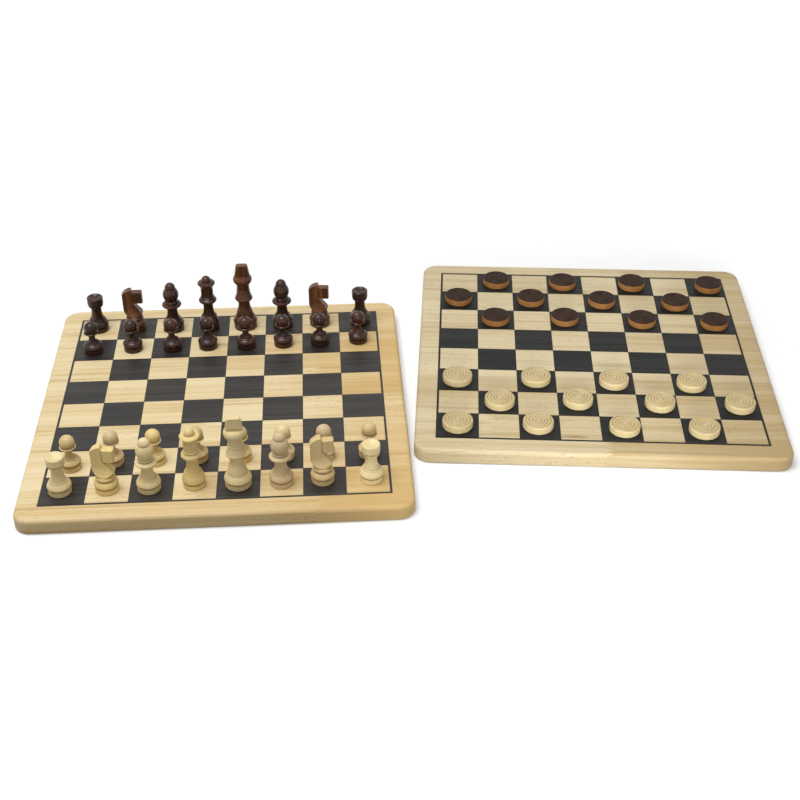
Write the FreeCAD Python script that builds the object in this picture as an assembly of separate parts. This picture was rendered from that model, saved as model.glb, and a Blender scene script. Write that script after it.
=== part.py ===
import FreeCAD, Part
import math
import os

# Two wooden game boards of one pattern, one set out with turned chess pieces, the other with draughts discs.
# Millimetres, +Z up. The origin is the middle of the chess board's underside. +Y points away from the viewer.

# Boards
square = 35.0
squares_across = 8
margin = 20.0
board_thickness = 13.5
corner_radius = 14.0
top_round = 3.5
bottom_round = 1.5

# Black print on the boards: the bleed joins the squares that meet at their corners
print_thickness = 0.2
print_bleed = 0.15
border_line = 1.9

# Place of the draughts board beside the chess board, turned clockwise by its angle in degrees
boards_gap = 4.0
draughts_board_away = 57.0
draughts_board_turn = 6.0

# Draughts discs with ring grooves in the upper face
disc_diameter = 26.5
disc_thickness = 7.0
disc_edge_round = 1.3
ring_count = 4
ring_pitch = 2.7
ring_width = 1.5
ring_depth = 0.5

# What all chess pieces share: a foot, a groove above it, a bell that stands out over the foot, and small rims
foot_height = 4.4
foot_edge_break = 0.6
groove_depth = 0.9
groove_floor = 0.5
groove_height = 1.6
bell_overhang = 0.42
bell_edge_round = 1.5
rim_break = 0.6

# Pawn
pawn_height = 32.0
pawn_foot_diameter = 17.3
pawn_shoulder_diameter = 12.6
pawn_stem_diameter = 9.0
pawn_neck_diameter = 5.9
pawn_collar_diameter = 13.6
pawn_ball_diameter = 12.5
pawn_ball_undercut = 33.0

# Rook
rook_height = 35.5
rook_foot_diameter = 18.8
rook_shoulder_diameter = 14.8
rook_neck_diameter = 9.6
rook_bead_diameter = 13.8
rook_cup_diameter = 14.9
rook_bowl_diameter = 11.6
rook_bowl_depth = 2.0

# Knight
knight_height = 43.6
knight_foot_diameter = 18.9
knight_shoulder_diameter = 16.8
knight_groove_diameter = 13.4
knight_collar_diameter = 15.8
knight_head_foot_diameter = 12.8
knight_blank_diameter = 19.2
knight_head_thickness = 6.8
cheek_line_width = 1.2
cheek_line_depth = 0.6

# Bishop
bishop_height = 50.0
bishop_foot_diameter = 19.0
bishop_shoulder_diameter = 15.2
bishop_neck_diameter = 9.5
bishop_collar_diameter = 18.2
bishop_ring_diameter = 12.8
bishop_egg_diameter = 14.8
bishop_button_diameter = 10.0
bishop_button_height = 5.4

# Queen
queen_height = 56.5
queen_foot_diameter = 18.0
queen_shoulder_diameter = 14.6
queen_neck_diameter = 9.1
queen_collar_diameter = 16.7
queen_flute_diameter = 11.5
queen_ring_diameter = 13.0
queen_crown_diameter = 16.3
queen_ball_diameter = 8.8
queen_ball_undercut = 12.0

# King
king_height = 66.5
king_foot_diameter = 21.6
king_shoulder_diameter = 17.6
king_bell_diameter = 13.0
king_waist_diameter = 10.8
king_collar_diameter = 16.6
king_urn_diameter = 12.0
king_neck_diameter = 12.8
king_crown_diameter = 17.7
king_head_height = 11.0
king_head_foot_diameter = 14.6
king_head_top_diameter = 11.2
king_head_thickness = 6.2

# Heights along each piece, as shares of the height below its head, from the shoulder of the base upwards
pawn_stem_shares = (0.45, 0.49, 0.68, 0.83, 0.92, 0.99)
rook_stem_shares = (0.315, 0.365, 0.58, 0.70, 0.735, 0.785, 0.81)
knight_stem_shares = (0.235, 0.265, 0.34, 0.51)
bishop_stem_shares = (0.25, 0.285, 0.45, 0.51, 0.585, 0.635, 0.66, 0.70, 0.715)
queen_stem_shares = (0.255, 0.295, 0.45, 0.52, 0.585, 0.635, 0.665, 0.695, 0.72, 0.86, 0.94, 0.98)
king_stem_shares = (0.225, 0.36, 0.45, 0.515, 0.545, 0.60, 0.70, 0.735, 0.85)

# The knight's saw cuts: places across as shares of the blank's radius, heights as shares of its height
head_foot_share = 0.355
flat_foot_share = 0.56
mane_back_share = 0.78
mane_bend_shares = (0.66, 0.955)
ear_share = 0.10
ear_front_share = 0.02
muzzle_top_share = 0.935
muzzle_under_share = 0.68
chest_shares = (0.80, 0.44)
saw_reach_share = 1.2

# How hollow a cove is: the share of the change in diameter that is left half way up
cove_share = 0.3

# How full a bell is: the share of the change in diameter that is left half way up
bell_share = 0.66

# How far each piece stands from the middle of its square, to the right and away, as shares of a square
light_pieces_shares = (
    (-0.09, -0.03), (-0.02, 0), (-0.05, -0.04), (-0.02, 0.04),
    (0, 0), (0, 0), (-0.04, 0.03), (0.09, 0.02),
)
light_pawns_shares = (
    (0.03, -0.12), (0.02, 0), (0, 0), (0, 0.03),
    (0.03, 0), (0.05, -0.02), (0.01, -0.06), (0.08, -0.05),
)
dark_pawns_shares = (
    (-0.05, -0.07), (-0.01, 0), (0.04, -0.04), (-0.02, 0),
    (0, -0.05), (-0.01, 0), (-0.03, 0), (0, 0.06),
)
dark_pieces_shares = (
    (-0.05, 0.08), (-0.04, 0.03), (0, -0.02), (-0.02, -0.04),
    (-0.05, 0), (-0.03, -0.03), (-0.02, 0), (0.09, 0),
)
light_discs_shares = {
    1: ((-0.02, -0.03), (-0.04, 0.01), (0.07, -0.03), (0.01, -0.03)),
    2: ((0.03, -0.03), (0, 0.09), (0.05, 0.05), (0.05, 0.06)),
    3: ((-0.04, -0.02), (-0.02, 0.04), (-0.02, 0), (-0.04, -0.03)),
}
dark_discs_shares = {
    6: ((-0.01, -0.03), (-0.1, 0.05), (0.01, 0.02), (-0.02, -0.01)),
    7: ((-0.04, 0.02), (0, 0.05), (-0.01, 0.03), (0.04, 0)),
    8: ((0.04, 0.02), (-0.06, -0.01), (-0.08, 0.03), (0.1, 0)),
}

# The knights all look along their rank, each turned a little by hand, in degrees
knight_turns = {"b1": -8, "g1": 4, "b8": 0, "g8": -6}

# Worked out from the sizes above
files = "abcdefgh"
piece_order = ("rook", "knight", "bishop", "queen", "king", "bishop", "knight", "rook")
grid_side = squares_across * square
board_side = grid_side + 2 * margin
board_top = board_thickness
print_top = board_thickness + print_thickness
turn_angle = math.radians(draughts_board_turn)
corner_centre = board_side / 2 - corner_radius
turned_reach = corner_centre * (math.cos(turn_angle) + math.sin(turn_angle)) + corner_radius
draughts_board_right = board_side / 2 + boards_gap + turned_reach

up = FreeCAD.Vector(0, 0, 1)
origin = FreeCAD.Vector(0, 0, 0)


def square_face(side, height):
    """A square face about the Z axis."""
    corner = FreeCAD.Vector(-side / 2, -side / 2, height)
    return Part.makePlane(side, side, corner)


def board():
    """A square slab with round corners and rounded upper and lower edges."""
    slab = square_face(board_side, 0).extrude(up * board_thickness)
    corners = [edge for edge in slab.Edges if abs(edge.tangentAt(edge.FirstParameter).z) > 0.5]
    slab = slab.makeFillet(corner_radius, corners)
    upper = [edge for edge in slab.Edges if edge.BoundBox.ZMin > board_thickness / 2]
    slab = slab.makeFillet(top_round, upper)
    lower = [edge for edge in slab.Edges if edge.BoundBox.ZMax < bottom_round / 2]
    return slab.makeFillet(bottom_round, lower)


def is_dark(column, row):
    """The near left square is dark, and so is every other one."""
    return (column + row) % 2 == 0


def square_centre(column, row):
    """The middle of a square on the board's upper face, counted from 0 at the near left."""
    first = (square - grid_side) / 2
    return FreeCAD.Vector(first + column * square, first + row * square, board_top)


def board_print():
    """The dark squares and the line round them, as one thin film on the board's upper face."""
    outer = square_face(grid_side + 2 * border_line, board_top)
    line = outer.cut(square_face(grid_side, board_top)).extrude(up * print_thickness)
    printed = square_face(square + 2 * print_bleed, 0).extrude(up * print_thickness)
    squares = []
    for column in range(squares_across):
        for row in range(squares_across):
            if is_dark(column, row):
                squares.append(printed.translated(square_centre(column, row)))
    return line.multiFuse(squares).removeSplitter().Solids[0]


class Turning:
    """The half outline of a turned piece, begun in the middle of its underside and carried on by each cut."""

    def __init__(self):
        self.edges = []
        self.diameter = 0
        self.height = 0

    def point(self, diameter, height):
        return FreeCAD.Vector(diameter / 2, 0, height)

    def straight(self, diameter, height):
        """A straight cut to a diameter and a height."""
        start = self.point(self.diameter, self.height)
        self.edges.append(Part.LineSegment(start, self.point(diameter, height)).toShape())
        self.diameter = diameter
        self.height = height

    def arc(self, middle_diameter, middle_height, diameter, height):
        """A round cut through a middle point to a diameter and a height."""
        start = self.point(self.diameter, self.height)
        middle = self.point(middle_diameter, middle_height)
        self.edges.append(Part.Arc(start, middle, self.point(diameter, height)).toShape())
        self.diameter = diameter
        self.height = height

    def swell(self, widest, diameter, height):
        """A full curve that is widest half way up."""
        self.arc(widest, (self.height + height) / 2, diameter, height)

    def bell(self, diameter, height):
        """A full curve that draws in towards its top."""
        middle_diameter = diameter + bell_share * (self.diameter - diameter)
        self.arc(middle_diameter, (self.height + height) / 2, diameter, height)

    def lip(self, height):
        """An upright band on top of a bell, with its upper edge broken."""
        self.straight(self.diameter, (self.height + height) / 2)
        self.straight(self.diameter - 2 * rim_break, height)

    def cove(self, diameter, height):
        """A hollow curve."""
        wide = max(self.diameter, diameter)
        narrow = min(self.diameter, diameter)
        self.arc(narrow + cove_share * (wide - narrow), (self.height + height) / 2, diameter, height)

    def rim(self, diameter, height):
        """A disc or a bead with broken edges, from here up to a height."""
        step = (height - self.height) / 3
        self.straight(diameter, self.height + step)
        self.straight(diameter, height - step)
        self.straight(diameter - 2 * rim_break, height)

    def corner(self, diameter, height):
        """A quarter round, inwards or outwards, that leaves the edge full."""
        lean = math.cos(math.pi / 4)
        outwards = diameter > self.diameter
        wide, narrow = (diameter, self.diameter) if outwards else (self.diameter, diameter)
        wide_height, narrow_height = (height, self.height) if outwards else (self.height, height)
        middle_height = wide_height + lean * (narrow_height - wide_height)
        self.arc(narrow + lean * (wide - narrow), middle_height, diameter, height)

    def dome(self, height):
        """A round cap or a round hollow that ends on the axis at a height."""
        rise = height - self.height
        radius = ((self.diameter / 2) ** 2 + rise**2) / (2 * rise)
        lean = math.acos(1 - rise / radius) / 2
        self.arc(2 * abs(radius) * math.sin(lean), height - radius + radius * math.cos(lean), 0, height)

    def ball(self, diameter, undercut, top):
        """A ball on the seat below it."""
        self.straight(diameter * math.cos(math.radians(undercut)), ball_seat(diameter, undercut, top))
        self.arc(diameter, top - diameter / 2, 0, top)

    def solid(self):
        """The outline closed along the axis and spun about it."""
        start = self.point(self.diameter, self.height)
        closed = self.edges + [Part.LineSegment(start, origin).toShape()]
        return Part.Face(Part.Wire(closed)).revolve(origin, up, 360)


def ball_seat(diameter, undercut, top):
    """The height at which a ball leaves its seat, an angle of undercut below its equator."""
    return top - diameter / 2 * (1 + math.sin(math.radians(undercut)))


def base(foot_diameter, shoulder_diameter, shoulder):
    """The foot, the groove above it and the bell up to its shoulder."""
    outline = Turning()
    outline.straight(foot_diameter - 2 * foot_edge_break, 0)
    outline.straight(foot_diameter, foot_edge_break)
    outline.straight(foot_diameter, foot_height)
    outline.straight(foot_diameter - 2 * groove_depth, foot_height + groove_floor)
    outline.straight(foot_diameter, foot_height + groove_height)
    outline.corner(foot_diameter + 2 * bell_overhang, foot_height + groove_height + bell_edge_round)
    outline.bell(shoulder_diameter, shoulder)
    return outline


def pawn():
    stem = ball_seat(pawn_ball_diameter, pawn_ball_undercut, pawn_height)
    shoulder, lip, neck, throat, collar, collar_top = (share * stem for share in pawn_stem_shares)
    outline = base(pawn_foot_diameter, pawn_shoulder_diameter, shoulder)
    outline.lip(lip)
    outline.straight(pawn_stem_diameter, lip)
    outline.cove(pawn_neck_diameter, neck)
    outline.straight(pawn_neck_diameter, throat)
    outline.straight(pawn_collar_diameter - 2 * rim_break, collar)
    outline.rim(pawn_collar_diameter, collar_top)
    outline.ball(pawn_ball_diameter, pawn_ball_undercut, pawn_height)
    return outline.solid()


def rook():
    """A turned tower whose cup has a plain rim and a round hollow."""
    heights = (share * rook_height for share in rook_stem_shares)
    shoulder, lip, neck, throat, bead, bead_top, cup_foot = heights
    outline = base(rook_foot_diameter, rook_shoulder_diameter, shoulder)
    outline.lip(lip)
    outline.straight(rook_shoulder_diameter - 4 * rim_break, lip)
    outline.cove(rook_neck_diameter, neck)
    outline.straight(rook_neck_diameter, throat)
    outline.straight(rook_bead_diameter - 2 * rim_break, bead)
    outline.rim(rook_bead_diameter, bead_top)
    outline.straight(rook_bead_diameter - 4 * rim_break, bead_top)
    outline.straight(rook_cup_diameter, cup_foot)
    outline.straight(rook_cup_diameter, rook_height - rim_break)
    outline.straight(rook_cup_diameter - 2 * rim_break, rook_height)
    outline.straight(rook_bowl_diameter, rook_height)
    outline.dome(rook_height - rook_bowl_depth)
    return outline.solid()


def knight_blank(head_foot):
    """The turned blank: the base, a groove, a collar and the round stock that the head is sawn from."""
    shoulder, groove, collar_top, head = (share * knight_height for share in knight_stem_shares)
    outline = base(knight_foot_diameter, knight_shoulder_diameter, shoulder)
    outline.straight(knight_groove_diameter, groove)
    outline.rim(knight_collar_diameter, collar_top)
    outline.straight(knight_head_foot_diameter, head_foot)
    middle = (knight_head_foot_diameter + 2 * knight_blank_diameter) / 3
    outline.swell(middle, knight_blank_diameter, head)
    outline.straight(knight_blank_diameter, knight_height)
    outline.straight(0, knight_height)
    return outline.solid()


def cheek_lines(across, foot):
    """The two upright cuts that set the muzzle off from the mane, one in each flat of the head."""
    lines = []
    for side in (-1, 1):
        face = side * knight_head_thickness / 2
        corners = [
            FreeCAD.Vector(across - cheek_line_width / 2, face, foot),
            FreeCAD.Vector(across + cheek_line_width / 2, face, foot),
            FreeCAD.Vector(across, face - side * cheek_line_depth, foot),
        ]
        section = Part.Face(Part.makePolygon(corners + corners[:1]))
        lines.append(section.extrude(up * knight_height))
    return Part.makeCompound(lines)


def head_flats(reach, head_foot):
    """The stock between the two flats of the head, which run out to the full blank at the head's foot."""
    half = knight_head_thickness / 2
    foot_half = knight_head_foot_diameter / 2 + rim_break
    flat_foot = flat_foot_share * knight_height
    middle = half + cove_share * (foot_half - half)
    sides = []
    for side in (-1, 1):
        top = FreeCAD.Vector(-reach, side * half, knight_height)
        bend = FreeCAD.Vector(-reach, side * half, flat_foot)
        run_out = FreeCAD.Vector(-reach, side * middle, (flat_foot + head_foot) / 2)
        foot = FreeCAD.Vector(-reach, side * foot_half, head_foot)
        sides.append((top, bend, run_out, foot))
    edges = []
    for top, bend, run_out, foot in sides:
        edges.append(Part.LineSegment(top, bend).toShape())
        edges.append(Part.Arc(bend, run_out, foot).toShape())
    edges.append(Part.LineSegment(sides[0][0], sides[1][0]).toShape())
    edges.append(Part.LineSegment(sides[0][3], sides[1][3]).toShape())
    outline = Part.Wire(Part.__sortEdges__(edges))
    return Part.Face(outline).extrude(FreeCAD.Vector(2 * reach, 0, 0))


def knight():
    """The head is what two flat saw cuts and one shaped cut leave of the blank above its collar."""
    head_foot = head_foot_share * knight_height
    radius = knight_blank_diameter / 2
    reach = saw_reach_share * radius

    def saw_point(across, height):
        return FreeCAD.Vector(across, -reach, height)

    mane_start = saw_point(-reach, mane_back_share * knight_height)
    mane_bend = saw_point(-mane_bend_shares[0] * radius, mane_bend_shares[1] * knight_height)
    ear = saw_point(-ear_share * radius, knight_height)
    corners = [
        ear,
        saw_point(ear_front_share * radius, muzzle_top_share * knight_height),
        saw_point(reach, muzzle_top_share * knight_height),
        saw_point(reach, muzzle_under_share * knight_height),
        saw_point(ear_front_share * radius, muzzle_under_share * knight_height),
        saw_point(chest_shares[0] * radius, chest_shares[1] * knight_height),
        saw_point(reach, head_foot),
        saw_point(-reach, head_foot),
        mane_start,
    ]
    edges = [Part.LineSegment(a, b).toShape() for a, b in zip(corners, corners[1:])]
    edges.append(Part.Arc(mane_start, mane_bend, ear).toShape())
    kept = Part.Face(Part.Wire(edges)).extrude(FreeCAD.Vector(0, 2 * reach, 0))
    kept = kept.common(head_flats(reach, head_foot))
    kept = kept.cut(cheek_lines(ear_front_share * radius, muzzle_under_share * knight_height))
    stock_corner = FreeCAD.Vector(-reach, -reach, head_foot)
    stock = Part.makeBox(2 * reach, 2 * reach, knight_height, stock_corner)
    return knight_blank(head_foot).cut(stock.cut(kept)).Solids[0]


def bishop():
    egg_top = bishop_height - bishop_button_height
    heights = (share * egg_top for share in bishop_stem_shares)
    shoulder, lip, neck, throat, collar, collar_top, ring, ring_top, egg_foot = heights
    outline = base(bishop_foot_diameter, bishop_shoulder_diameter, shoulder)
    outline.lip(lip)
    outline.straight(bishop_shoulder_diameter - 4 * rim_break, lip)
    outline.cove(bishop_neck_diameter, neck)
    outline.straight(bishop_neck_diameter, throat)
    outline.straight(bishop_collar_diameter - 2 * rim_break, collar)
    outline.rim(bishop_collar_diameter, collar_top)
    outline.straight(bishop_ring_diameter - 2 * rim_break, ring)
    outline.rim(bishop_ring_diameter, ring_top)
    outline.straight(bishop_ring_diameter - 4 * rim_break, egg_foot)
    outline.swell(bishop_egg_diameter, bishop_button_diameter - 2 * rim_break, egg_top)
    outline.straight(bishop_button_diameter, egg_top + rim_break)
    outline.dome(bishop_height)
    return outline.solid()


def queen():
    stem = ball_seat(queen_ball_diameter, queen_ball_undercut, queen_height)
    heights = (share * stem for share in queen_stem_shares)
    shoulder, lip, neck, throat, collar, collar_top, *upper = heights
    ring, ring_top, flute, flute_top, crown, crown_top = upper
    outline = base(queen_foot_diameter, queen_shoulder_diameter, shoulder)
    outline.lip(lip)
    outline.straight(queen_shoulder_diameter - 4 * rim_break, lip)
    outline.cove(queen_neck_diameter, neck)
    outline.straight(queen_neck_diameter, throat)
    outline.straight(queen_collar_diameter - 2 * rim_break, collar)
    outline.rim(queen_collar_diameter, collar_top)
    outline.straight(queen_ring_diameter - 2 * rim_break, ring)
    outline.rim(queen_ring_diameter, ring_top)
    outline.straight(queen_flute_diameter, flute)
    outline.straight(queen_flute_diameter, flute_top)
    outline.cove(queen_crown_diameter - 2 * rim_break, crown)
    outline.rim(queen_crown_diameter, crown_top)
    outline.ball(queen_ball_diameter, queen_ball_undercut, queen_height)
    return outline.solid()


def king():
    """The king's head is a turned cone above the crown, sawn flat at the front and the back."""
    head_foot = king_height - king_head_height
    heights = (share * head_foot for share in king_stem_shares)
    shoulder, bell, waist, throat, collar, collar_top, ring, ring_top, crown = heights
    outline = base(king_foot_diameter, king_shoulder_diameter, shoulder)
    outline.straight(king_shoulder_diameter - 2 * rim_break, shoulder)
    outline.bell(king_bell_diameter, bell)
    outline.cove(king_waist_diameter, waist)
    outline.straight(king_waist_diameter, throat)
    outline.straight(king_collar_diameter - 2 * rim_break, collar)
    outline.rim(king_collar_diameter, collar_top)
    outline.straight(king_urn_diameter, ring)
    outline.rim(king_neck_diameter, ring_top)
    outline.straight(king_urn_diameter, crown)
    outline.swell(king_crown_diameter, king_head_foot_diameter, head_foot)
    outline.straight(king_head_top_diameter, king_height - rim_break)
    outline.straight(king_head_top_diameter - 2 * rim_break, king_height)
    outline.straight(0, king_height)
    piece = outline.solid()
    for side in (-1, 1):
        waste = Part.makeBox(king_crown_diameter, king_crown_diameter, king_head_height)
        middle = side * (king_head_thickness + king_crown_diameter) / 2
        corner = FreeCAD.Vector(-king_crown_diameter / 2, middle - king_crown_diameter / 2, head_foot)
        piece = piece.cut(waste.translated(corner))
    return piece.Solids[0]


def disc():
    """A flat disc with rounded edges, and ring grooves in its upper face."""
    inner = disc_diameter - 2 * disc_edge_round
    outline = Turning()
    outline.straight(inner, 0)
    outline.corner(disc_diameter, disc_edge_round)
    outline.straight(disc_diameter, disc_thickness - disc_edge_round)
    outline.corner(inner, disc_thickness)
    for ring in range(ring_count, 0, -1):
        middle = 2 * ring_pitch * ring
        outline.straight(middle + ring_width, disc_thickness)
        outline.straight(middle, disc_thickness - ring_depth)
        outline.straight(middle - ring_width, disc_thickness)
    outline.straight(0, disc_thickness)
    return outline.solid()


def standing(piece, column, row, shares, turn=0):
    """A piece set down on its square, off the middle by shares of a square and turned about its axis."""
    place = square_centre(column, row) + FreeCAD.Vector(shares[0] * square, shares[1] * square, 0)
    if is_dark(column, row):
        place.z = print_top
    return piece.rotated(origin, up, turn).translated(place)


def chess_nodes():
    """Every chess piece, named by its colour, its kind and its square."""
    shapes = {
        "pawn": pawn(),
        "rook": rook(),
        "knight": knight(),
        "bishop": bishop(),
        "queen": queen(),
        "king": king(),
    }
    ranks = (
        ("light", 1, piece_order, light_pieces_shares),
        ("light", 2, ["pawn"] * squares_across, light_pawns_shares),
        ("dark", 7, ["pawn"] * squares_across, dark_pawns_shares),
        ("dark", 8, piece_order, dark_pieces_shares),
    )
    nodes = {}
    for colour, rank, kinds, all_shares in ranks:
        for column, (kind, shares) in enumerate(zip(kinds, all_shares)):
            place = files[column] + str(rank)
            turn = knight_turns[place] if kind == "knight" else 0
            nodes[f"{colour}_{kind}_{place}"] = standing(shapes[kind], column, rank - 1, shares, turn)
    return nodes


def disc_nodes():
    """Every disc, named by its colour and its square, on the dark squares of its rank."""
    shape = disc()
    nodes = {}
    for colour, ranks in (("light", light_discs_shares), ("dark", dark_discs_shares)):
        for rank, all_shares in ranks.items():
            columns = [column for column in range(squares_across) if is_dark(column, rank - 1)]
            for column, shares in zip(columns, all_shares):
                nodes[f"{colour}_disc_{files[column]}{rank}"] = standing(shape, column, rank - 1, shares)
    return nodes


def beside(shape):
    """A shape of the draughts board's own frame, moved to where that board lies."""
    place = FreeCAD.Vector(draughts_board_right, draughts_board_away, 0)
    return shape.rotated(origin, up, -draughts_board_turn).translated(place)


plain_board = board()
plain_print = board_print()
nodes = {"chess_board": plain_board, "chess_board_print": plain_print}
nodes.update(chess_nodes())
nodes["draughts_board"] = beside(plain_board)
nodes["draughts_board_print"] = beside(plain_print)
nodes.update({name: beside(shape) for name, shape in disc_nodes().items()})

os.makedirs("parts", exist_ok=True)
for name, shape in nodes.items():
    shape.exportStep(f"parts/{name}.step")
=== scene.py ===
"""Finishes and stage for a chess set and a draughts set, each standing on its own board."""

import math

import bmesh
import bpy
from bpy.props import FloatProperty, FloatVectorProperty, PointerProperty
from mathutils import Matrix, Vector


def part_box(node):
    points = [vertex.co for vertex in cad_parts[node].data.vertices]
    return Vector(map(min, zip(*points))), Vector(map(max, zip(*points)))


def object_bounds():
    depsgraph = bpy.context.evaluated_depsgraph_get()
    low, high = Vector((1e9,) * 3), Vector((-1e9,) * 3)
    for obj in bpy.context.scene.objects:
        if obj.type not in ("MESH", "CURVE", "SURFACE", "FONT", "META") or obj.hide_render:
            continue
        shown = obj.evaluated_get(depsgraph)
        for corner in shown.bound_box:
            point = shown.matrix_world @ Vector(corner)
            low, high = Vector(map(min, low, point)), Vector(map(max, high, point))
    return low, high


bl_info = {
    "name": "Chess and draughts set",
    "version": (1, 0, 0),
    "blender": (4, 5, 0),
    "location": "3D View > Sidebar > Game set",
    "description": "Wood, print and lacquer finishes for two game boards and their pieces",
    "category": "Object",
}

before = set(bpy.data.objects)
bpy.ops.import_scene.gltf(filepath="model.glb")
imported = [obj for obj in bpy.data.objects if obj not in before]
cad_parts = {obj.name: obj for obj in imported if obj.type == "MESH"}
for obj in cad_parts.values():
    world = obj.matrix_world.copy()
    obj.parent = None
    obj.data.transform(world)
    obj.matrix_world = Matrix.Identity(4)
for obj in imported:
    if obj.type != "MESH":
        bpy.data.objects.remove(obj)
cad_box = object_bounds()

# The chess board lies square about the frame's origin, and the draughts board lies turned beside it.
chess_middle, chess_turn = (0, 0, 0), 0
draughts_low, draughts_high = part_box("draughts_board")
draughts_middle = (draughts_low + draughts_high) / 2
draughts_turn = math.radians(6)

# Where each board is cut from the endless run of staves, in metres, so that the tones of its staves suit it.
chess_cut = (1.53, 0.138)
draughts_cut = (2.42, 1.702)

# A brown streak in one light square near the draughts board's front edge: its place from that board's middle,
# and how many times half its length and half its width go into a metre.
brown_streak = (-0.0235, -0.1355)
streak_per_metre = (60, 420, 0)

# How often each mark of the grain comes round in a metre: along the fibres, then across them both ways.
broad_streaks = (4, 75, 75)
fine_lines = (7, 420, 420)
fibres = (45, 1600, 1600)
short_pores = (170, 1500, 1500)
pore_crowds = (14, 45, 45)

# Ends of what a noise mostly gives, of the noise that makes a pore, and of the noise that lets pores crowd.
noise_ends = (0.3, 0.7)
pore_ends = (0.64, 0.72)
crowd_ends = (0.42, 0.62)

# Share of the broad ones in all streaks; fine lines make up the rest.
broad_share = 0.6

# Glued staves: the joint's width and softness, the step from row to row, and the grain's jump between tones.
joint_width = 0.00012
joint_softness = 0.4
row_step = 0.37
grain_jump = 3.1

# Each span turns values between its first two numbers into values between its last two.
# The next two spans paint shade: a board's wood turns darker and yellower towards its near edge and its right
# side.
near_painted_shade = (-0.16, -0.10, 0.32, 0.04)
right_painted_shade = (0.04, 0.16, 0, 0.5)
streak_warmth = (0.2, 0.8, -0.1, 0.42)
stave_warmth = (0, 1, -0.08, 0.42)
dark_lines = (0.6, 0.95, 0, 0.5)
streak_fade = (0.1, 1, 0.9, 0)
groove_shade_span = (0.4, 0.9, 1, 0)
groove_wall_start = (0.76, 0.80, 0, 1)
groove_wall_end = (0.88, 0.94, 1, 0)
upright_edge = (0.35, 0.7, 1, 0)
thin_stain = (0.42, 0.9, 0, 1)
thin_ink = (0.3, 0.8, 0, 1)
floor_glow = (0.36, 0.8, 0.18, 0.8)

# Roughness where the fibres are smooth and where they are coarse.
satin = (0.42, 0.56)
waxed = (0.36, 0.5)
printed = (0.38, 0.52)
oiled = (0.34, 0.48)
lacquered = (0.3, 0.42)

# Depth of the fibres in metres, and how far round a point the painted shade in grooves looks for surfaces
# that hide it.
board_fibre_depth = 0.00003
piece_fibre_depth = 0.00002
lacquer_fibre_depth = 0.00001
groove_shade_reach = 0.004

# How strongly each mark shows, from 0 to 1.
board_pores, board_joints = 0.7, 0.5
# The third number on the next line is the strength of the painted shade in the pieces' grooves.
piece_streaks, piece_pores, piece_groove_shade = 0.75, 0.22, 0.8
pale_disc_streaks, dark_disc_streaks, disc_edge_streaks = 0.6, 0.8, 0.7

# How much of red, green and blue the deep streaks of pale wood keep, and how much more a thin stain shows.
deep_shares = Vector((0.80, 0.70, 0.56))
thin_shares = Vector((3.2, 2.5, 1.7))

# Other marks against the tone round them: under 1 is darker, over 1 is lighter.
# The second number on the next line is the tone of the painted shade in the pieces' grooves.
pore_tone, groove_shade_tone = 0.5, 0.4
pale_disc_deep, dark_disc_thin, disc_edge_deep = 0.82, 1.8, 0.55
ink_thick_tone, ink_thin_tone = 0.75, 1.7

# Floor: its gap under the boards, and the share of its colour that it throws back on them.
floor_gap = 0.0003
bounce_share = 0.32

# Lamps: side in metres, spread in degrees, and place from the middle of what they light.
key_size, key_spread = 0.9, 180
key_place = Vector((-0.45, -0.2, 1.48))
fill_size, fill_spread = 0.3, 32
fill_place = Vector((-0.08, -0.82, 0.15))
fill_aim = Vector((0.02, 0, 0))

# Pieces whose wood differs from the common tone of their side.
honey_pieces = ("light_pawn_c2", "light_pawn_e2", "light_knight_b1", "light_queen_d1")
tan_pieces = ("light_pawn_a2", "light_pawn_d2", "light_pawn_h2", "light_knight_g1")
rose_pieces = ("light_pawn_b2", "light_pawn_g2", "light_bishop_f1")
brown_pieces = ("dark_knight_b8", "dark_knight_g8", "dark_king_e8")

kinds = ("king", "queen", "bishop", "knight", "rook", "pawn")


def colour_setting(name, description, default):
    """A colour that can be set in the panel."""
    return FloatVectorProperty(
        name=name, description=description, subtype="COLOR", size=3, min=0, max=1, default=default
    )


class BoardFinish(bpy.types.PropertyGroup):
    """Wood and print of the two boards."""

    chess_pale: colour_setting("Chess pale", "Palest staves of the chess board", (0.82, 0.69, 0.42))
    chess_honey: colour_setting("Chess honey", "Yellowest staves of the chess board", (0.62, 0.42, 0.17))
    draughts_pale: colour_setting("Draughts pale", "Palest staves of the draughts board", (0.66, 0.56, 0.355))
    draughts_honey: colour_setting(
        "Draughts honey", "Yellowest staves of the draughts board", (0.43, 0.315, 0.15)
    )
    grain_line: colour_setting("Grain line", "Colour of the dark lines in the grain", (0.42, 0.25, 0.10))
    fleck: colour_setting("Fleck", "Colour of the short pores", (0.26, 0.14, 0.06))
    chess_print: colour_setting("Chess print", "Colour of the chess board's squares", (0.023, 0.020, 0.017))
    draughts_print: colour_setting(
        "Draughts print", "Colour of the draughts board's squares", (0.012, 0.012, 0.0115)
    )
    stave_width: FloatProperty(
        name="Stave width", description="Width of one glued stave", unit="LENGTH", min=0.01, default=0.046
    )
    stave_length: FloatProperty(
        name="Stave length", description="Length of one glued stave", unit="LENGTH", min=0.05, default=0.27
    )
    finger_length: FloatProperty(
        name="Finger length", description="Length of the fingers that join stave ends", unit="LENGTH",
        default=0.009,
    )
    finger_pitch: FloatProperty(
        name="Finger pitch", description="Distance from finger to finger", unit="LENGTH", min=0.001,
        default=0.004,
    )


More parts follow.
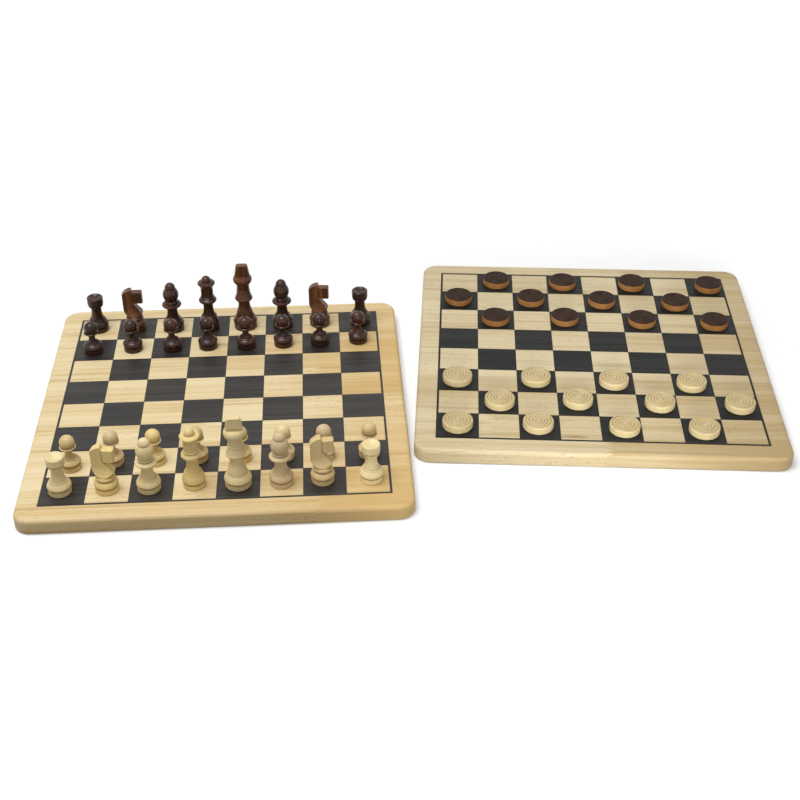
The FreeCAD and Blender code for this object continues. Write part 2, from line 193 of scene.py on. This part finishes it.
class PieceFinish(bpy.types.PropertyGroup):
    """Wood of the chess pieces and discs."""

    cream: colour_setting("Cream", "Common tone of the light chess pieces", (0.86, 0.73, 0.41))
    honey: colour_setting("Honey", "Yellow tone of some light pieces", (0.86, 0.69, 0.31))
    tan: colour_setting("Tan", "Brown tone of some light pieces", (0.72, 0.56, 0.285))
    rose: colour_setting("Rose", "Pink tone of some light pieces", (0.72, 0.565, 0.33))
    lacquer: colour_setting("Lacquer", "Stain of the dark chess pieces", (0.030, 0.0118, 0.0068))
    brown: colour_setting("Brown", "Thinner stain of some dark pieces", (0.086, 0.036, 0.017))
    pale_disc: colour_setting("Pale disc", "Wood of the light discs", (0.60, 0.49, 0.26))
    pale_ring: colour_setting("Pale ring", "Wood in the light discs' grooves", (0.42, 0.31, 0.14))
    dark_disc: colour_setting("Dark disc", "Stain on the dark discs' faces", (0.017, 0.0075, 0.004))
    # The colour in the dark discs' grooves is a painted highlight.
    dark_ring_highlight: colour_setting("Dark ring", "Stain in the dark discs' grooves", (0.042, 0.021, 0.013))
    dark_side: colour_setting("Dark side", "Thin stain on the dark discs' edges", (0.30, 0.14, 0.045))


class StageSettings(bpy.types.PropertyGroup):
    """Floor, light and camera."""

    floor: colour_setting("Floor", "Colour of the floor", (0.86, 0.86, 0.86))
    floor_width: FloatProperty(
        name="Floor width", description="Side of the square floor", unit="LENGTH", min=1, default=8
    )
    sky: FloatProperty(name="Sky", description="Strength of the light from all round", min=0, default=0.38)
    key: FloatProperty(name="Key", description="Power of the lamp overhead", unit="POWER", default=18.5)
    fill: FloatProperty(
        name="Fill", description="Power of the low lamp on the right", unit="POWER", default=0.36
    )
    lens: FloatProperty(name="Lens", description="Focal length in millimetres", min=10, default=60.7)
    eye: FloatVectorProperty(
        name="Eye", description="Where the camera stands", subtype="TRANSLATION", unit="LENGTH",
        default=(0.095, -0.990, 0.696),
    )
    tilt: FloatProperty(
        name="Tilt", description="Camera's tilt up from straight down", subtype="ANGLE",
        default=math.radians(55.16),
    )
    swing: FloatProperty(
        name="Swing", description="Camera's turn about the upright", subtype="ANGLE",
        default=math.radians(-3.56),
    )


class Nodes:
    """Adds nodes to one tree and joins them."""

    def __init__(self, tree):
        self.tree = tree

    def feed(self, socket, value):
        if isinstance(value, bpy.types.NodeSocket):
            self.tree.links.new(value, socket)
        else:
            socket.default_value = value

    def add(self, kind, inputs, **settings):
        node = self.tree.nodes.new(kind)
        for name, value in settings.items():
            setattr(node, name, value)
        for name, value in inputs.items():
            self.feed(node.inputs[name], value)
        return node

    def reckon(self, operation, first, second):
        return self.add("ShaderNodeMath", {0: first, 1: second}, operation=operation).outputs[0]

    def plus(self, first, second):
        return self.reckon("ADD", first, second)

    def times(self, first, second):
        return self.reckon("MULTIPLY", first, second)

    def span(self, value, low, high, new_low=0, new_high=1):
        # Values past the ends stay at the ends.
        inputs = {"Value": value, "From Min": low, "From Max": high, "To Min": new_low, "To Max": new_high}
        return self.add("ShaderNodeMapRange", inputs).outputs["Result"]

    def blend(self, amount, first, second):
        # A Mix node has its colour sockets at 6 and 7, and its mixed colour at 2.
        return self.add("ShaderNodeMix", {"Factor": amount, 6: first, 7: second}, data_type="RGBA").outputs[2]

    def place(self, vector, scale=(1, 1, 1), turn=(0, 0, 0), shift=(0, 0, 0)):
        inputs = {"Vector": vector, "Location": shift, "Rotation": turn, "Scale": scale}
        return self.add("ShaderNodeMapping", inputs).outputs["Vector"]

    def noise(self, vector, per_metre, detail):
        inputs = {"Vector": self.place(vector, scale=per_metre), "Scale": 1.0, "Detail": detail}
        return self.add("ShaderNodeTexNoise", inputs).outputs["Fac"]


def opaque(rgb):
    """A colour as sockets take it."""
    return (*rgb, 1.0)


def new_group(name, takes, gives):
    """A node group with its ends: takes and gives map socket names to socket kinds."""
    tree = bpy.data.node_groups.new(name, "ShaderNodeTree")
    for label, kind in takes.items():
        tree.interface.new_socket(label, in_out="INPUT", socket_type=kind)
    for label, kind in gives.items():
        tree.interface.new_socket(label, in_out="OUTPUT", socket_type=kind)
    nodes = Nodes(tree)
    start = nodes.add("NodeGroupInput", {})
    end = nodes.add("NodeGroupOutput", {})
    return nodes, start.outputs, end.inputs


def wood_grain_group():
    """Streaks, fibres and short pores of wood whose fibres run along X, in metres."""
    known = bpy.data.node_groups.get("wood_grain")
    if known:
        return known
    gives = {"Streak": "NodeSocketFloat", "Fibre": "NodeSocketFloat", "Pore": "NodeSocketFloat"}
    nodes, start, end = new_group("wood_grain", {"Vector": "NodeSocketVector"}, gives)
    broad = nodes.span(nodes.noise(start["Vector"], broad_streaks, detail=3), *noise_ends)
    lines = nodes.span(nodes.noise(start["Vector"], fine_lines, detail=2), *noise_ends)
    fibre = nodes.span(nodes.noise(start["Vector"], fibres, detail=2), *noise_ends)
    pores = nodes.span(nodes.noise(start["Vector"], short_pores, detail=1), *pore_ends)
    crowd = nodes.span(nodes.noise(start["Vector"], pore_crowds, detail=1), *crowd_ends)
    streak = nodes.plus(nodes.times(broad, broad_share), nodes.times(lines, 1 - broad_share))
    nodes.feed(end["Streak"], streak)
    nodes.feed(end["Fibre"], fibre)
    nodes.feed(end["Pore"], nodes.times(pores, crowd))
    return nodes.tree


def glued_stave_group():
    """A tone for each finger-jointed stave of a glued slab, and the grain's shift from stave to stave."""
    known = bpy.data.node_groups.get("glued_staves")
    if known:
        return known
    takes = {
        "Vector": "NodeSocketVector", "Width": "NodeSocketFloat", "Length": "NodeSocketFloat",
        "Finger": "NodeSocketFloat", "Pitch": "NodeSocketFloat",
    }
    gives = {"Tone": "NodeSocketFloat", "Joint": "NodeSocketFloat", "Shifted": "NodeSocketVector"}
    nodes, start, end = new_group("glued_staves", takes, gives)
    sides = nodes.add("ShaderNodeSeparateXYZ", {"Vector": start["Vector"]}).outputs
    half_pitch = nodes.times(start["Pitch"], 0.5)
    zigzag = nodes.reckon("DIVIDE", nodes.reckon("PINGPONG", sides["Y"], half_pitch), half_pitch)
    toothed = nodes.plus(sides["X"], nodes.times(zigzag, start["Finger"]))
    fingers = nodes.add("ShaderNodeCombineXYZ", {"X": toothed, "Y": sides["Y"], "Z": sides["Z"]})
    inputs = {
        "Vector": fingers.outputs["Vector"], "Scale": 1.0,
        "Mortar Size": joint_width, "Mortar Smooth": joint_softness,
        "Brick Width": start["Length"], "Row Height": start["Width"],
        "Color1": opaque((0, 0, 0)), "Color2": opaque((1, 1, 1)), "Mortar": opaque((0.5, 0.5, 0.5)),
    }
    staves = nodes.add("ShaderNodeTexBrick", inputs, offset=row_step, offset_frequency=2, squash=1.0)
    tone = nodes.add("ShaderNodeRGBToBW", {"Color": staves.outputs["Color"]}).outputs["Val"]
    jump = nodes.add("ShaderNodeCombineXYZ", {"X": nodes.times(tone, grain_jump), "Y": tone})
    both = {0: start["Vector"], 1: jump.outputs["Vector"]}
    moved = nodes.add("ShaderNodeVectorMath", both, operation="ADD")
    nodes.feed(end["Tone"], tone)
    nodes.feed(end["Joint"], staves.outputs["Fac"])
    nodes.feed(end["Shifted"], moved.outputs["Vector"])
    return nodes.tree


def new_finish(name, **sockets):
    """A material with one Principled shader; sockets are set by their names with spaces as underscores."""
    material = bpy.data.materials.new(name)
    material.use_nodes = True
    material.node_tree.nodes.clear()
    nodes = Nodes(material.node_tree)
    constants = {label.replace("_", " "): value for label, value in sockets.items()}
    shader = nodes.add("ShaderNodeBsdfPrincipled", constants)
    nodes.add("ShaderNodeOutputMaterial", {"Surface": shader.outputs["BSDF"]})
    here = nodes.add("ShaderNodeTexCoord", {}).outputs["Object"]
    return material, nodes, shader.inputs, here


def surface(nodes, shader, colour, fibre, roughness, ridges, depth):
    """Joins a colour to the shader, with a sheen that follows the fibres and fine ridges of some depth."""
    nodes.feed(shader["Base Color"], colour)
    nodes.feed(shader["Roughness"], nodes.span(fibre, 0, 1, *roughness))
    inputs = {"Height": ridges, "Strength": 1.0, "Distance": depth}
    nodes.feed(shader["Normal"], nodes.add("ShaderNodeBump", inputs).outputs["Normal"])


def use_group(nodes, tree, inputs):
    """Adds a node group, feeds its inputs by their names and gives its outputs."""
    node = nodes.add("ShaderNodeGroup", {}, node_tree=tree)
    for label, value in inputs.items():
        nodes.feed(node.inputs[label], value)
    return node.outputs


def on_board(nodes, here, middle, turn):
    """Coordinates of a board's own, from its middle and along its sides."""
    away = Matrix.Rotation(turn, 3, "Z") @ Vector(middle)
    return nodes.place(here, turn=(0, 0, turn), shift=(-away.x, -away.y, 0))


def oval_streak(nodes, local, place):
    """Strongest in the middle of a long oval, 0 at its edge and beyond."""
    shift = [-often * at for often, at in zip(streak_per_metre, (*place, 0))]
    oval = nodes.place(local, scale=streak_per_metre, shift=shift)
    away = nodes.add("ShaderNodeVectorMath", {0: oval}, operation="LENGTH").outputs["Value"]
    return nodes.span(away, *streak_fade)


def board_wood(name, finish, pale, honey, middle, turn, cut, streak=None):
    """Glued pale staves with streaks, pores and a satin varnish, with painted shade that makes them darker
    and yellower towards the near edge and the right.
    """
    material, nodes, shader, here = new_finish(name, Specular_IOR_Level=0.35)
    local = on_board(nodes, here, middle, turn)
    staves = use_group(
        nodes, glued_stave_group(),
        {
            "Vector": nodes.place(local, shift=(*cut, 0)),
            "Width": finish.stave_width, "Length": finish.stave_length,
            "Finger": finish.finger_length, "Pitch": finish.finger_pitch,
        },
    )
    grain = use_group(nodes, wood_grain_group(), {"Vector": staves["Shifted"]})
    sides = nodes.add("ShaderNodeSeparateXYZ", {"Vector": local}).outputs
    # Painted shade: darker, yellower wood towards the board's near edge and its right side.
    painted_shade_by_place = nodes.plus(nodes.span(sides["Y"], *near_painted_shade), nodes.span(sides["X"], *right_painted_shade))
    staved = nodes.plus(
        nodes.span(grain["Streak"], *streak_warmth), nodes.span(staves["Tone"], *stave_warmth)
    )
    wood = nodes.blend(nodes.plus(painted_shade_by_place, staved), opaque(pale), opaque(honey))
    wood = nodes.blend(nodes.span(grain["Streak"], *dark_lines), wood, opaque(finish.grain_line))
    wood = nodes.blend(nodes.times(grain["Pore"], board_pores), wood, opaque(finish.fleck))
    wood = nodes.blend(nodes.times(staves["Joint"], board_joints), wood, opaque(finish.grain_line))
    if streak:
        wood = nodes.blend(oval_streak(nodes, local, streak), wood, opaque(finish.fleck))
    surface(nodes, shader, wood, grain["Fibre"], satin, grain["Fibre"], board_fibre_depth)
    return material


def board_print(name, black, middle, turn, sheen, relief):
    """Black print over wood: the grain under it shows as fine ridges."""
    material, nodes, shader, here = new_finish(name, Specular_IOR_Level=sheen)
    local = on_board(nodes, here, middle, turn)
    grain = use_group(nodes, wood_grain_group(), {"Vector": local})
    thick, thin = Vector(black) * ink_thick_tone, Vector(black) * ink_thin_tone
    ink = nodes.blend(nodes.span(grain["Streak"], *thin_ink), opaque(thick), opaque(thin))
    surface(nodes, shader, ink, grain["Fibre"], printed, grain["Streak"], relief)
    return material


def facing_up(nodes):
    """How far a face looks up: 1 when level, 0 when upright."""
    facing = nodes.add("ShaderNodeNewGeometry", {}).outputs["True Normal"]
    return nodes.add("ShaderNodeSeparateXYZ", {"Vector": facing}).outputs["Z"]


def groove_walls(nodes):
    """1 on the sloping walls of ring grooves cut in a level face, else 0."""
    rise = facing_up(nodes)
    return nodes.times(nodes.span(rise, *groove_wall_start), nodes.span(rise, *groove_wall_end))


def upright_grain(nodes, here):
    """Wood grain with its fibres upright, as in a turned blank."""
    return use_group(nodes, wood_grain_group(), {"Vector": nodes.place(here, turn=(0, math.pi / 2, 0))})


def painted_groove_shade(nodes):
    """Up to 1 deep in narrow grooves, where shade falls and is painted into the colour, else 0."""
    inputs = {"Distance": groove_shade_reach}
    openness = nodes.add("ShaderNodeAmbientOcclusion", inputs, samples=16, only_local=True).outputs["AO"]
    return nodes.span(openness, *groove_shade_span)


def turned_wood(name, tone):
    """Bare pale wood, turned and waxed, with painted shade in its grooves."""
    material, nodes, shader, here = new_finish(name, Specular_IOR_Level=0.4)
    grain = upright_grain(nodes, here)
    deep = Vector(tone) * deep_shares
    wood = nodes.blend(nodes.times(grain["Streak"], piece_streaks), opaque(tone), opaque(deep))
    wood = nodes.blend(nodes.times(grain["Pore"], piece_pores), wood, opaque(deep * pore_tone))
    # Painted shade: the wood is darkened where its grooves are hidden from the light.
    wood = nodes.blend(nodes.times(painted_groove_shade(nodes), piece_groove_shade), wood, opaque(deep * groove_shade_tone))
    surface(nodes, shader, wood, grain["Fibre"], waxed, grain["Fibre"], piece_fibre_depth)
    return material


def pale_disc_wood(name, finish):
    """Bare pale wood, darker in the ring grooves."""
    material, nodes, shader, here = new_finish(name, Specular_IOR_Level=0.4)
    grain = upright_grain(nodes, here)
    deep = Vector(finish.pale_disc) * pale_disc_deep
    streaks = nodes.times(grain["Streak"], pale_disc_streaks)
    wood = nodes.blend(streaks, opaque(finish.pale_disc), opaque(deep))
    wood = nodes.blend(groove_walls(nodes), wood, opaque(finish.pale_ring))
    surface(nodes, shader, wood, grain["Fibre"], waxed, grain["Fibre"], piece_fibre_depth)
    return material


def dark_disc_wood(name, finish):
    """Dark stain on the faces, lighter in the ring grooves as a painted highlight, and thinnest round the
    edge.
    """
    material, nodes, shader, here = new_finish(
        name, Specular_IOR_Level=0.07, Coat_Weight=0.03, Coat_Roughness=0.15
    )
    grain = upright_grain(nodes, here)
    thin = Vector(finish.dark_disc) * dark_disc_thin
    streaks = nodes.times(grain["Streak"], dark_disc_streaks)
    wood = nodes.blend(streaks, opaque(finish.dark_disc), opaque(thin))
    # Painted highlight: the walls of the ring grooves are lighter than the faces.
    wood = nodes.blend(groove_walls(nodes), wood, opaque(finish.dark_ring_highlight))
    deep = Vector(finish.dark_side) * disc_edge_deep
    streaks = nodes.times(grain["Streak"], disc_edge_streaks)
    edge = nodes.blend(streaks, opaque(finish.dark_side), opaque(deep))
    wood = nodes.blend(nodes.span(facing_up(nodes), *upright_edge), wood, edge)
    surface(nodes, shader, wood, grain["Fibre"], oiled, grain["Fibre"], piece_fibre_depth)
    return material


def lacquered_wood(name, stain, gloss):
    """Dark stain under a clear gloss coat; the stain is thinner along the streaks."""
    material, nodes, shader, here = new_finish(
        name, Specular_IOR_Level=0.15, Coat_Weight=gloss, Coat_Roughness=0.06
    )
    grain = upright_grain(nodes, here)
    thin = Vector(stain) * thin_shares
    wood = nodes.blend(nodes.span(grain["Streak"], *thin_stain), opaque(stain), opaque(thin))
    surface(nodes, shader, wood, grain["Fibre"], lacquered, grain["Fibre"], lacquer_fibre_depth)
    return material


def dress(name, material):
    """Gives one CAD node its finish."""
    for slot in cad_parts[name].material_slots:
        slot.material = material


def dress_all(start, material, other=None):
    """Gives every node whose name starts so its finish, or the other finish that is listed for it."""
    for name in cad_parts:
        if name.startswith(start):
            dress(name, (other or {}).get(name, material))


class FinishChessBoard(bpy.types.Operator):
    """Wood and print of the chess board"""

    bl_idname = "game_set.finish_chess_board"
    bl_label = "Chess board"

    def execute(self, context):
        finish = context.scene.board_finish
        wood = board_wood(
            "chess_board_staves", finish, finish.chess_pale, finish.chess_honey,
            chess_middle, chess_turn, chess_cut,
        )
        dress("chess_board", wood)
        black = board_print(
            "chess_board_black", finish.chess_print, chess_middle, chess_turn, sheen=0.32, relief=0.00001
        )
        dress("chess_board_print", black)
        return {"FINISHED"}


class FinishDraughtsBoard(bpy.types.Operator):
    """Wood and print of the draughts board"""

    bl_idname = "game_set.finish_draughts_board"
    bl_label = "Draughts board"

    def execute(self, context):
        finish = context.scene.board_finish
        wood = board_wood(
            "draughts_board_staves", finish, finish.draughts_pale, finish.draughts_honey,
            draughts_middle, draughts_turn, draughts_cut, brown_streak,
        )
        dress("draughts_board", wood)
        black = board_print(
            "draughts_board_black", finish.draughts_print, draughts_middle, draughts_turn,
            sheen=0.14, relief=0.00004,
        )
        dress("draughts_board_print", black)
        return {"FINISHED"}


class FinishLightPieces(bpy.types.Operator):
    """Pale wood of the light chess pieces, in four tones"""

    bl_idname = "game_set.finish_light_pieces"
    bl_label = "Light chess pieces"

    def execute(self, context):
        finish = context.scene.piece_finish
        tones = (("honey", honey_pieces), ("tan", tan_pieces), ("rose", rose_pieces))
        other = {}
        for tone, names in tones:
            wood = turned_wood("light_wood_" + tone, getattr(finish, tone))
            other.update(dict.fromkeys(names, wood))
        cream = turned_wood("light_wood_cream", finish.cream)
        for kind in kinds:
            dress_all("light_" + kind, cream, other)
        return {"FINISHED"}


class FinishDarkPieces(bpy.types.Operator):
    """Lacquered wood of the dark chess pieces"""

    bl_idname = "game_set.finish_dark_pieces"
    bl_label = "Dark chess pieces"

    def execute(self, context):
        finish = context.scene.piece_finish
        brown = lacquered_wood("dark_wood_brown", finish.brown, gloss=0.25)
        lacquer = lacquered_wood("dark_wood_lacquer", finish.lacquer, gloss=0.35)
        for kind in kinds:
            dress_all("dark_" + kind, lacquer, dict.fromkeys(brown_pieces, brown))
        return {"FINISHED"}


class FinishDiscs(bpy.types.Operator):
    """Pale and dark wood of the draughts discs"""

    bl_idname = "game_set.finish_discs"
    bl_label = "Draughts discs"

    def execute(self, context):
        finish = context.scene.piece_finish
        dress_all("light_disc", pale_disc_wood("disc_wood_pale", finish))
        dress_all("dark_disc", dark_disc_wood("disc_wood_dark", finish))
        return {"FINISHED"}


def make_floor(settings):
    """A wide pale floor just under the boards; the camera sees it bright, and it keeps the shadows."""
    shape = bmesh.new()
    bmesh.ops.create_grid(shape, x_segments=1, y_segments=1, size=settings.floor_width / 2)
    bmesh.ops.translate(shape, verts=shape.verts, vec=(0, 0, cad_box[0].z - floor_gap))
    mesh = bpy.data.meshes.new("floor")
    shape.to_mesh(mesh)
    shape.free()
    floor = bpy.data.objects.new("floor", mesh)
    bpy.context.collection.objects.link(floor)
    mesh.materials.append(floor_paper(settings.floor, (cad_box[0] + cad_box[1]) / 2))


def floor_paper(shade, middle):
    """Matt paper with a glow that only the camera and mirrors see; what it throws back is softer."""
    material = bpy.data.materials.new("floor_paper")
    material.use_nodes = True
    material.node_tree.nodes.clear()
    nodes = Nodes(material.node_tree)
    paper = nodes.add("ShaderNodeBsdfDiffuse", {"Color": opaque(shade)})
    here = nodes.add("ShaderNodeTexCoord", {}).outputs["Object"]
    away = nodes.add("ShaderNodeVectorMath", {0: here, 1: middle}, operation="DISTANCE").outputs["Value"]
    glow = nodes.add("ShaderNodeEmission", {"Color": nodes.span(away, *floor_glow), "Strength": 1.0})
    bright = nodes.add("ShaderNodeAddShader", {0: paper.outputs["BSDF"], 1: glow.outputs["Emission"]})
    soft = nodes.add("ShaderNodeBsdfDiffuse", {"Color": opaque(Vector(shade) * bounce_share)})
    seen = seen_directly(nodes)
    both = nodes.add("ShaderNodeMixShader", {0: seen, 1: soft.outputs["BSDF"], 2: bright.outputs["Shader"]})
    nodes.add("ShaderNodeOutputMaterial", {"Surface": both.outputs["Shader"]})
    return material


def seen_directly(nodes):
    """1 for rays from the camera and for those in reflections and glass, else 0."""
    path = nodes.add("ShaderNodeLightPath", {}).outputs
    mirrored = nodes.reckon("MAXIMUM", path["Is Glossy Ray"], path["Is Transmission Ray"])
    return nodes.reckon("MAXIMUM", path["Is Camera Ray"], mirrored)


def make_sky(strength):
    """Even light from all round, which shows as plain white."""
    world = bpy.data.worlds.new("white_sky")
    world.use_nodes = True
    world.node_tree.nodes.clear()
    nodes = Nodes(world.node_tree)
    white = opaque((1, 1, 1))
    light = nodes.add("ShaderNodeBackground", {"Color": white, "Strength": strength})
    shown = nodes.add("ShaderNodeBackground", {"Color": white, "Strength": 1.0})
    seen = seen_directly(nodes)
    both = nodes.add(
        "ShaderNodeMixShader", {0: seen, 1: light.outputs["Background"], 2: shown.outputs["Background"]}
    )
    nodes.add("ShaderNodeOutputWorld", {"Surface": both.outputs["Shader"]})
    bpy.context.scene.world = world


def make_lamp(name, power, size, spread, place, target):
    """A square soft lamp that faces its target; its light keeps within the angle of spread."""
    lamp = bpy.data.lights.new(name, "AREA")
    lamp.energy = power
    lamp.size = size
    lamp.spread = math.radians(spread)
    holder = bpy.data.objects.new(name, lamp)
    holder.location = place
    holder.rotation_euler = (Vector(target) - Vector(place)).to_track_quat("-Z", "Y").to_euler()
    bpy.context.collection.objects.link(holder)


def make_camera(settings):
    """The camera, as it stands in the settings."""
    camera = bpy.data.cameras.new("camera")
    camera.lens = settings.lens
    camera.sensor_width = 36
    holder = bpy.data.objects.new("camera", camera)
    holder.location = settings.eye
    holder.rotation_euler = (settings.tilt, 0, settings.swing)
    bpy.context.collection.objects.link(holder)
    bpy.context.scene.camera = holder


class SetStage(bpy.types.Operator):
    """Floor, sky, lamps and camera"""

    bl_idname = "game_set.set_stage"
    bl_label = "Stage"

    def execute(self, context):
        settings = context.scene.game_stage
        middle = (cad_box[0] + cad_box[1]) / 2
        make_floor(settings)
        make_sky(settings.sky)
        make_lamp("key_lamp", settings.key, key_size, key_spread, middle + key_place, middle)
        make_lamp(
            "low_fill_lamp", settings.fill, fill_size, fill_spread,
            draughts_middle + fill_place, draughts_middle + fill_aim,
        )
        make_camera(settings)
        context.scene.view_settings.view_transform = "Standard"
        return {"FINISHED"}


steps = (
    FinishChessBoard, FinishDraughtsBoard, FinishLightPieces, FinishDarkPieces, FinishDiscs, SetStage,
)


class GameSetPanel(bpy.types.Panel):
    """Steps and settings of the game set"""

    bl_idname = "VIEW3D_PT_game_set"
    bl_label = "Game set"
    bl_space_type = "VIEW_3D"
    bl_region_type = "UI"
    bl_category = "Game set"

    def draw(self, context):
        for step in steps:
            self.layout.operator(step.bl_idname)
        for group in (context.scene.board_finish, context.scene.piece_finish, context.scene.game_stage):
            box = self.layout.box()
            for name in group.__annotations__:
                box.prop(group, name)


classes = (BoardFinish, PieceFinish, StageSettings, *steps, GameSetPanel)


def register():
    for kind in classes:
        bpy.utils.register_class(kind)
    bpy.types.Scene.board_finish = PointerProperty(type=BoardFinish)
    bpy.types.Scene.piece_finish = PointerProperty(type=PieceFinish)
    bpy.types.Scene.game_stage = PointerProperty(type=StageSettings)


def unregister():
    del bpy.types.Scene.game_stage
    del bpy.types.Scene.piece_finish
    del bpy.types.Scene.board_finish
    for kind in reversed(classes):
        bpy.utils.unregister_class(kind)


def main():
    register()
    bpy.ops.game_set.finish_chess_board()
    bpy.ops.game_set.finish_draughts_board()
    bpy.ops.game_set.finish_light_pieces()
    bpy.ops.game_set.finish_dark_pieces()
    bpy.ops.game_set.finish_discs()
    bpy.ops.game_set.set_stage()


if __name__ == "__main__":
    main()
